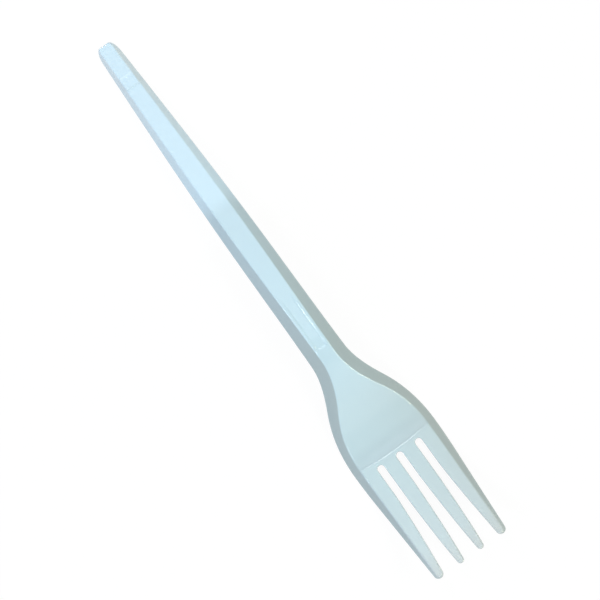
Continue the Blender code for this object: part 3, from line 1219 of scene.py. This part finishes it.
def fill_points(border: Sequence[Point2], chains: Sequence[Sequence[Point2]]) -> list[Point2]:
    """Spread points over the web, clear of its border and of the chains that it follows.

    Args:
        border: The web's border, from the centre line back to the centre line.
        chains: Other lines of points that the mesh has to follow.

    Returns:
        The points.
    """
    taken: dict[tuple[int, int], list[Point2]] = {}
    for chain in [border, *chains]:
        for a, b in zip(chain, chain[1:]):
            for share in spaced(0.0, 1.0, FILL_CLEAR / 2 / (math.dist(a, b) + FILL_CLEAR)):
                x, y = a[0] + (b[0] - a[0]) * share, a[1] + (b[1] - a[1]) * share
                taken.setdefault((int(x / FILL_CLEAR), int(y / FILL_CLEAR)), []).append((x, y))

    def is_clear(x: float, y: float) -> bool:
        """Say whether a point is clear of the border and of all chains.

        Args:
            x: The point's distance along the fork.
            y: Its distance from the centre line.

        Returns:
            Whether it is clear.
        """
        column, row = int(x / FILL_CLEAR), int(y / FILL_CLEAR)
        near = (point for i in (-1, 0, 1) for j in (-1, 0, 1)
                for point in taken.get((column + i, row + j), ()))
        return all(math.dist(point, (x, y)) > FILL_CLEAR for point in near)

    points = []
    for x in spaced(border[0][0], LENGTHS.tip, FILL_STEP)[1:-1]:
        crossings = sorted(a[1] + (b[1] - a[1]) * (x - a[0]) / (b[0] - a[0])
                           for a, b in zip(border, border[1:]) if (a[0] < x) != (b[0] < x))
        if len(crossings) % 2:
            crossings.insert(0, 0.0)
        for low, high in zip(crossings[::2], crossings[1::2]):
            inner = spaced(low, high, FILL_STEP)[0 if low == 0.0 else 1:-1]
            points += [(x, y) for y in inner if is_clear(x, y)]
    return points


@dataclass
class Fork:
    """The whole fork: one moulding, shaped from its blank and dressed in its plastic."""

    wall: Wall
    handle: Handle
    head: Head
    tines: Tines
    step: TineStep
    pad: CavityPad
    panel: LabelPanel
    pins: PinMarks
    arch: Arch

    def outer_tip(self) -> Tip:
        """Give the tip of an outer tine."""
        return self.head.outer_tip(self.tines.outer_tip_radius)

    def side(self) -> SmoothCurve:
        """Give half the fork's width along its long outer side."""
        last = self.outer_tip().tangent(self.head.taper, 1)
        return SmoothCurve((*self.handle.knots(), *self.head.knots(), last))

    def side_station(self, x: float) -> Station:
        """Give a station of the long side.

        Args:
            x: The distance along the fork.

        Returns:
            The station there.
        """
        side = self.side()
        slope = side.slope(x)
        size = math.hypot(1.0, slope)
        band, depth = self.wall.band(side.knots[0].at), self.wall.depth()
        return Station(x, side.value(x), slope / size, -1.0 / size, band.value(x), depth.value(x))

    def station_on(self, line: Line) -> Station:
        """Find the station whose first section point lies on a line across the web.

        Args:
            line: The line.

        Returns:
            The station.
        """
        x = line(0.0)
        for _ in range(LINE_TRIES):
            start = self.wall.section(self.side_station(x))[0]
            x += line(start.y) - start.x
        return self.side_station(x)

    def web_lines(self) -> list[Line]:
        """Give the lines across the web's top face that the mesh follows."""
        return self.step.lines() + self.pad.lines()

    def stations(self) -> list[Station]:
        """Give all stations of the half outline.

        Returns:
            The stations from the handle's end to the middle slot's root.
        """
        side = self.side()
        marked = [self.station_on(line) for line in self.web_lines()]
        plain = [self.side_station(x)
                 for x in spaced(side.knots[0].at, side.knots[-1].at, OUTLINE_STEP)[1:]
                 if all(abs(x - station.x) > FILL_CLEAR for station in marked)]
        long_side = sorted(plain + marked, key=lambda station: station.x)
        tines, outer = self.tines, self.outer_tip()
        inner = Tip(tines.inner_tip_offset, tines.inner_tip_radius)
        slopes = (self.head.taper, tines.taper_end)
        stations = self.handle.stations() + long_side
        stations += tines.round_tip(outer, slopes, stations[-1].band)
        stations += reversed(tines.slot_side(tines.slot_pitch, 1, outer, tines.slot_straight))
        stations += tines.root(tines.slot_pitch, INNER_SIDE)[:-1]
        stations += tines.slot_side(tines.slot_pitch, -1, inner, tines.inner_straight)
        stations += tines.round_tip(inner, (tines.taper_end,) * 2, self.wall.draft)
        stations += reversed(tines.slot_side(0.0, 1, inner, tines.slot_straight))
        stations += tines.root(0.0, BACK)
        stations[-1] = stations[-1]._replace(y=0.0, inward_y=0.0)
        return stations

    def blank(self) -> bpy.types.Mesh:
        """Draw the flat half of the skin.

        Returns:
            Its mesh, open on the plane of symmetry.
        """
        blank = Blank()
        rings = blank.add_walls(self.wall.section(station) for station in self.stations())
        blank.add_web([ring[0] for ring in rings], lambda x: 0.0, 0.0, self.web_lines(),
                      self.pad.loops() + self.panel.loops())
        blank.add_web([ring[-1] for ring in rings], lambda x: -self.wall.web_depth(x), 1.0, [],
                      self.pins.loops())
        data = bpy.data.meshes.new("fork_blank")
        blank.mesh.to_mesh(data)
        blank.mesh.free()
        return data

    def build(self, plastic: bpy.types.Material) -> bpy.types.Object:
        """Shape the blank into the fork and put it in the CAD part's place.

        Args:
            plastic: The material.

        Returns:
            The finished piece.
        """
        piece = put("fork_moulding", self.blank())
        mirror = piece.modifiers.new("other_half", "MIRROR")
        mirror.use_axis = (False, True, False)
        mirror.use_mirror_merge = True
        mirror.merge_threshold = MERGE_DISTANCE
        for rule in (self.step, self.pad, self.panel, self.pins, self.arch):
            rule.shape(piece, plastic)
        shaped = piece.evaluated_get(bpy.context.evaluated_depsgraph_get())
        data = bpy.data.meshes.new_from_object(shaped)
        piece.modifiers.clear()
        piece.data = data
        self.finish_mesh(data)
        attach(piece, BODY)
        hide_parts(CAD_NODE)
        return piece

    @staticmethod
    def finish_mesh(data: bpy.types.Mesh) -> None:
        """Turn all faces outward, drop the marks that are used up and shade the skin smooth.

        Args:
            data: The fork's mesh.
        """
        mesh = bmesh.new()
        mesh.from_mesh(data)
        bmesh.ops.recalc_face_normals(mesh, faces=mesh.faces)
        mesh.to_mesh(data)
        mesh.free()
        for mark in (Mark.RAISED, Mark.UNDERSIDE):
            data.attributes.remove(data.attributes[mark.value])
        data.shade_smooth()
        data.set_sharp_from_angle(angle=SHARP_ANGLE)


def put(name: str, data: bpy.types.ID) -> bpy.types.Object:
    """Put an object into the scene.

    Args:
        name: Its name.
        data: Its mesh, lamp or camera.

    Returns:
        The object, at the origin.
    """
    made = bpy.data.objects.new(name, data)
    bpy.context.scene.collection.objects.link(made)
    return made


# Finishes


def new_material(name: str) -> tuple[bpy.types.Material, NodeSheet, bpy.types.NodeSocket]:
    """Start a material.

    Args:
        name: Its name.

    Returns:
        The material, its empty sheet of nodes and its Object coordinates.
    """
    made = bpy.data.materials.new(name)
    made.use_nodes = True
    sheet = NodeSheet(made.node_tree)
    return made, sheet, sheet.node("ShaderNodeTexCoord").outputs["Object"]


@dataclass(frozen=True)
class FlowNoise:
    """Noise that is drawn out along the fork, as plastic flows in the mould."""

    stretch: Colour
    scale: float
    detail: float

    def draw(self, sheet: NodeSheet, place: bpy.types.NodeSocket) -> Value:
        """Draw the noise.

        Args:
            sheet: The material's nodes.
            place: The coordinates.

        Returns:
            The noise, about 0.5 on average.
        """
        taken = {"Vector": place, "Scale": self.stretch}
        stretched = sheet.node("ShaderNodeMapping", {}, taken).outputs[0]
        taken = {"Vector": stretched, "Scale": self.scale, "Detail": self.detail}
        return sheet.value("ShaderNodeTexNoise", {}, taken)


@dataclass(frozen=True)
class MilkyPlastic:
    """Glossy, slightly cloudy polystyrene with a cold tint.

    Its tones carry painted shade and painted light along the fork. The dish is painted darker
    towards the step, and the tines lighter than the dish and towards their tips. The sloping
    flanges are painted darker than the web, most of all where they are deep, and lighter near the
    handle's end, where the handle spot's patch lies. Each tone is a place along the fork and a
    colour. The head is painted a little darker towards its side at +Y, as painted shade.
    """

    step: TineStep
    # Painted shade: the web's tone darkens into the dish, up to the tines' step.
    tones: Tones = (
        (-60.0 * MM, (0.535, 0.69, 0.78)),
        (14.0 * MM, (0.54, 0.715, 0.8)),
        (42.5 * MM, (0.52, 0.67, 0.725)),
        (47.8 * MM, (0.452, 0.577, 0.632)),
    )
    # Painted light: the tines lighter than the dish, growing lighter towards their tips.
    tine_tones: Tones = (
        (48.0 * MM, (0.505, 0.645, 0.695)),
        (74.0 * MM, (0.566, 0.672, 0.702)),
        (81.5 * MM, (0.575, 0.635, 0.64)),
    )
    # Painted shade: the flanges darker than the web, more so towards the neck and head. Painted
    # light: lighter from the handle's end to the edge of the handle spot's patch.
    flange_shaded_tones: Tones = (
        (-80.0 * MM, (0.555, 0.64, 0.675)),
        (-35.0 * MM, (0.495, 0.635, 0.71)),
        (-28.0 * MM, (0.435, 0.56, 0.62)),
        (18.0 * MM, (0.39, 0.478, 0.495)),
    )
    tone_run: Point2 = (-85.0 * MM, 85.0 * MM)
    # Painted shade: the head is darker towards its side at +Y.
    side_shade_tone: Colour = (0.42, 0.45, 0.42)
    side_shade_share: float = 0.3
    side_half: float = 13.0 * MM
    head_run: Point2 = (20.0 * MM, 38.0 * MM)
    clouds: FlowNoise = FlowNoise((0.35, 1.0, 1.0), 90.0, 3.0)
    streaks: FlowNoise = FlowNoise((0.12, 1.6, 1.0), 420.0, 2.0)
    cloud_part: float = 0.7
    streak_part: float = 0.3
    clear_part: float = 0.2
    cloudiness: float = 0.04
    cloud_tone: Colour = (0.2, 0.3, 0.35)
    roughness: float = 0.1
    roughness_spread: float = 0.03
    ripple_height: float = 0.012 * MM
    gloss_index: float = 1.55
    haze: float = 0.25
    haze_reach: float = 1.2 * MM

    def material(self) -> bpy.types.Material:
        """Build the material.

        Returns:
            The material, which reads Object coordinates and the piece's flange shares.
        """
        made, sheet, place = new_material("milky_plastic")
        clouds, streaks = self.clouds.draw(sheet, place), self.streaks.draw(sheet, place)
        parts = sheet.node("ShaderNodeSeparateXYZ", taken={0: place}).outputs
        x, y = Value(sheet, parts[0]), Value(sheet, parts[1])
        along = (x - self.tone_run[0]) / (self.tone_run[1] - self.tone_run[0])
        sloping = sheet.value("ShaderNodeAttribute", {"attribute_name": Mark.FLANGE.value},
                              out="Fac")
        web, tines, flange = (self._ramp(along, tones)
                              for tones in (self.tones, self.tine_tones, self.flange_shaded_tones))
        web = self.step.passed(x + LENGTHS.tip / 2, y).mix(web, tines)
        # Painted shade and light: the flanges take their own darker tones, and the head's side at
        # +Y its side shade.
        toned = self._shaded_side(x, y).mix(sloping.mix(web, flange), self.side_shade_tone)
        dull = clouds * self.cloud_part + streaks * self.streak_part - self.clear_part
        cloudy = (dull.share() * self.cloudiness).mix(toned, self.cloud_tone)
        roughness = self.roughness + (clouds - 0.5) * self.roughness_spread
        roughness = roughness + (streaks - 0.5) * self.roughness_spread
        ripple = sheet.node("ShaderNodeBump", {},
                            {"Height": clouds, "Distance": self.ripple_height, "Strength": 1.0})
        shader = sheet.node("ShaderNodeBsdfPrincipled", {}, {
            "Base Color": cloudy,
            "Roughness": roughness,
            "Normal": ripple.outputs[0],
            "IOR": self.gloss_index,
            "Subsurface Weight": self.haze,
            "Subsurface Radius": WHITE[:3],
            "Subsurface Scale": self.haze_reach,
        })
        sheet.node("ShaderNodeOutputMaterial", taken={"Surface": shader.outputs[0]})
        return made

    def _shaded_side(self, x: Value, y: Value) -> Value:
        """Give how far the head's side at +Y is painted darker, as painted shade.

        Args:
            x: The point's distance along the fork.
            y: Its distance from the centre line, towards +Y.

        Returns:
            The share of the painted side shade.
        """
        start, end = self.head_run
        across = (y / (2.0 * self.side_half) + 0.5).share()
        return across * across * ((x - start) / (end - start)).ease() * self.side_shade_share

    def _ramp(self, along: Value, tones: Tones) -> bpy.types.NodeSocket:
        """Spread tones along the fork.

        Args:
            along: The share of the tones' run.
            tones: The tones, each with its place.

        Returns:
            The colour.
        """
        first, last = self.tone_run
        stops = [((place - first) / (last - first), colour) for place, colour in tones]
        return along.sheet.node("ShaderNodeValToRGB", {"stops": stops}, {0: along}).outputs[0]


def seen_share(sheet: NodeSheet) -> Value:
    """Give 1 to rays from the camera, and to those that gloss or clear plastic passes on to it.

    Args:
        sheet: The tree's nodes.

    Returns:
        1 for such rays and 0 for others.
    """
    rays = sheet.node("ShaderNodeLightPath").outputs
    seen = [Value(sheet, rays[f"Is {kind} Ray"]) for kind in ("Camera", "Glossy", "Transmission")]
    return seen[0].highest(seen[1]).highest(seen[2])


@dataclass(frozen=True)
class PaleFloor:
    """A matt pale floor that shows as a white ground and keeps the fork's shadow."""

    colour: Colour = (0.7, 0.7, 0.7)
    seen_colour: Colour = (0.98, 0.98, 0.98)
    lift: float = 0.94
    size: float = 6.0
    grain_scale: float = 900.0
    roughness: float = 0.86
    roughness_spread: float = 0.08

    def build(self) -> bpy.types.Object:
        """Lay the floor.

        Returns:
            The floor.
        """
        mesh = bmesh.new()
        bmesh.ops.create_grid(mesh, x_segments=1, y_segments=1, size=self.size / 2)
        data = bpy.data.meshes.new("floor")
        mesh.to_mesh(data)
        mesh.free()
        data.materials.append(self._material())
        floor = put("floor", data)
        return floor

    def _material(self) -> bpy.types.Material:
        """Build the floor's material, which is lifted towards white for the camera alone.

        Returns:
            The material.
        """
        made, sheet, place = new_material("pale_floor")
        seen = seen_share(sheet)
        grain = sheet.value("ShaderNodeTexNoise", {},
                            {"Vector": place, "Scale": self.grain_scale})
        matt = sheet.node("ShaderNodeBsdfPrincipled", {}, {
            "Base Color": seen.mix(self.colour, self.seen_colour),
            "Roughness": self.roughness + grain * self.roughness_spread,
            "Specular IOR Level": 0.0,
        })
        white = sheet.node("ShaderNodeEmission", {}, {"Color": WHITE})
        sheet.two_shaders(seen * self.lift, matt, white, "ShaderNodeOutputMaterial")
        return made


# Light and camera


def around(turn: float, off_upright: float, distance: float) -> Vector:
    """Give a place above the floor from its direction.

    Args:
        turn: The direction's turn from +X towards +Y, in degrees.
        off_upright: Its angle from straight up, in degrees.
        distance: The distance from the origin.

    Returns:
        The place.
    """
    flat = Vector((math.sin(math.radians(off_upright)), 0.0, math.cos(math.radians(off_upright))))
    return Matrix.Rotation(math.radians(turn), 3, "Z") @ flat * distance


@dataclass(frozen=True)
class SoftBox:
    """A lamp behind a white cloth that looks at the fork. A radiance of 1 shows as white."""

    name: str
    turn: float
    off_upright: float
    distance: float
    width: float
    height: float
    radiance: float
    colour: Colour

    def build(self) -> bpy.types.Object:
        """Hang the lamp.

        Returns:
            The lamp.
        """
        lamp = bpy.data.lights.new(self.name, "AREA")
        lamp.shape = "RECTANGLE"
        lamp.size = self.width
        lamp.size_y = self.height
        lamp.energy = math.pi * self.width * self.height * self.radiance
        lamp.color = self.colour
        return hang(lamp, around(self.turn, self.off_upright, self.distance), Vector())


@dataclass(frozen=True)
class HandleSpot:
    """A spot lamp whose round patch of light ends across the handle."""

    name: str = "handle_spot"
    turn: float = 180.0
    off_upright: float = 34.0
    distance: float = 1.3
    aim_at: float = -150.0 * MM
    edge_at: float = -29.4 * MM
    web_height: float = 8.7 * MM
    lamp_radius: float = 2.0 * MM
    blend: float = 0.03
    energy: float = 11.3
    colour: Colour = (0.98, 1.0, 1.13)

    def build(self) -> bpy.types.Object:
        """Hang the lamp.

        Returns:
            The lamp.
        """
        lamp = bpy.data.lights.new(self.name, "SPOT")
        aim = Vector((self.aim_at, 0.0, 0.0))
        edge = Vector((self.edge_at, 0.0, self.web_height))
        place = aim + around(self.turn, self.off_upright, self.distance)
        lamp.spot_size = 2 * (aim - place).angle(edge - place)
        lamp.spot_blend = self.blend
        lamp.shadow_soft_size = self.lamp_radius
        lamp.energy = self.energy
        lamp.color = self.colour
        return hang(lamp, place, aim)


def hang(lamp: bpy.types.Light, place: Vector, target: Vector) -> bpy.types.Object:
    """Hang a lamp at a place so that it looks at a target.

    Args:
        lamp: The lamp.
        place: Where it hangs.
        target: What it looks at.

    Returns:
        The lamp's object.
    """
    hung = put(lamp.name, lamp)
    hung.location = place
    hung.rotation_euler = (target - place).to_track_quat("-Z", "Y").to_euler()
    return hung


@dataclass(frozen=True)
class Studio:
    """The plain studio: soft lamps in a light tent that shows white to the camera."""

    lamps: tuple[SoftBox | HandleSpot, ...]
    tent: Colour = (0.58, 0.58, 0.61)

    def build(self) -> None:
        """Hang the lamps and set the tent's light."""
        for lamp in self.lamps:
            lamp.build()
        world = bpy.data.worlds.new("light_tent")
        bpy.context.scene.world = world
        world.use_nodes = True
        sheet = NodeSheet(world.node_tree)
        soft, white = (sheet.node("ShaderNodeBackground", {}, {"Color": colour})
                       for colour in ((*self.tent, 1.0), WHITE))
        sheet.two_shaders(seen_share(sheet), soft, white, "ShaderNodeOutputWorld")


@dataclass(frozen=True)
class PhotoCamera:
    """The camera, straight above the fork and turned so that the fork lies aslant."""

    height: float = 4.0
    above: Point2 = (1.84 * MM, 2.62 * MM)
    turn: float = 54.12
    view_width: float = 157.52 * MM
    sensor: float = 36.0

    def build(self) -> bpy.types.Object:
        """Set the camera up.

        Returns:
            The camera.
        """
        camera = bpy.data.cameras.new("photo_camera")
        camera.sensor_fit = "HORIZONTAL"
        camera.sensor_width = self.sensor
        camera.lens = self.sensor * self.height / self.view_width
        hung = put(camera.name, camera)
        hung.location = (*self.above, self.height)
        hung.rotation_euler = Euler((0.0, 0.0, math.radians(self.turn)))
        bpy.context.scene.camera = hung
        return hung


def main() -> None:
    """Build the fork, the floor, the light and the camera, and report each piece."""
    logging.basicConfig(level=logging.INFO, format="%(name)s: %(message)s")
    wall, step = Wall(), TineStep()
    fork = Fork(wall, Handle(wall), Head(), Tines(wall), step, CavityPad(), LabelPanel(),
                PinMarks(), Arch())
    piece = fork.build(MilkyPlastic(step).material())
    log.info("%s has %d faces", piece.name, len(piece.data.polygons))
    floor = PaleFloor().build()
    log.info("%s is %.1f m wide", floor.name, floor.dimensions.x)
    # Each box's name, turn, angle off upright, distance, width, height, radiance and colour
    studio = Studio((
        SoftBox("overhead_softbox", 180.0, 16.4, 1.4, 0.3, 1.535, 1.0, (0.91, 1.0, 1.05)),
        SoftBox("front_softbox", 0.0, 43.0, 1.4, 0.4, 0.4, 0.65, (1.03, 1.0, 0.93)),
        SoftBox("left_softbox", 270.0, 50.0, 1.3, 0.8, 0.8, 0.9, (0.81, 0.98, 1.2)),
        SoftBox("right_softbox", 90.0, 50.0, 1.3, 0.8, 0.8, 0.5, (1.05, 1.04, 0.62)),
        SoftBox("left_window", 271.5, 37.0, 1.3, 0.22, 0.14, 17.5, (0.9, 1.0, 1.03)),
        SoftBox("side_window", 307.0, 33.0, 1.3, 0.14, 0.18, 16.0, (0.92, 1.0, 1.12)),
        SoftBox("right_window", 44.0, 42.0, 1.3, 0.45, 0.24, 10.0, (1.03, 1.03, 0.7)),
        SoftBox("end_window", 180.0, 49.0, 1.3, 0.25, 0.14, 10.0, (0.92, 1.0, 0.99)),
        HandleSpot(),
    ))
    studio.build()
    log.info("the studio has %d lamps", len(studio.lamps))
    camera = PhotoCamera().build()
    log.info("%s is %.2f m above the floor", camera.name, camera.location.z)
    bpy.context.scene.view_settings.view_transform = "Standard"


if __name__ == "__main__":
    main()
